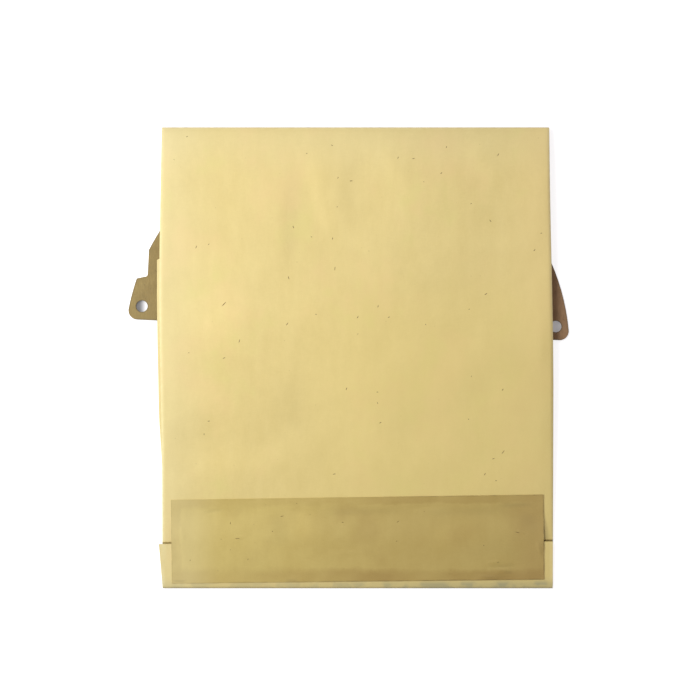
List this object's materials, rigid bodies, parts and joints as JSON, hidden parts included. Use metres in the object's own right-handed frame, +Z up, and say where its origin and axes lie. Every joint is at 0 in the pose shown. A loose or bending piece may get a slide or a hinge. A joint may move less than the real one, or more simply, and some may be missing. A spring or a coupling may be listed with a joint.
{
  "type": "vacuum dust bag",
  "caption": "Flat-folded paper vacuum dust bag with side gussets, a folded and taped mouth, and a half-moon card collar with an inlet seal and holed tabs.",
  "frame": {"origin": "on the surface that the part lies on, under the middle of its whole outline, the collar's tabs included", "axes": "+Z up from the surface, the bag's plain face on top and its collar underneath; +Y along the bag from the folded and taped mouth to the block base; +X to the right seen from above with the mouth towards the viewer"},
  "size_m": [0.2868, 0.3, 0.0128],
  "materials": {
    "bag_paper": "matt straw-coloured filter paper with fine dark fibres",
    "strip_paper": "matt olive-buff glued paper strip",
    "collar_card": "plain grey-brown die-cut board",
    "seal_rubber": "matt dark rubber"
  },
  "bodies": {
    "root": {"paper_bag": "bag_paper", "closing_strip": "strip_paper", "collar_card": "collar_card", "inlet_seal": "seal_rubber"}
  },
  "joints": []
}
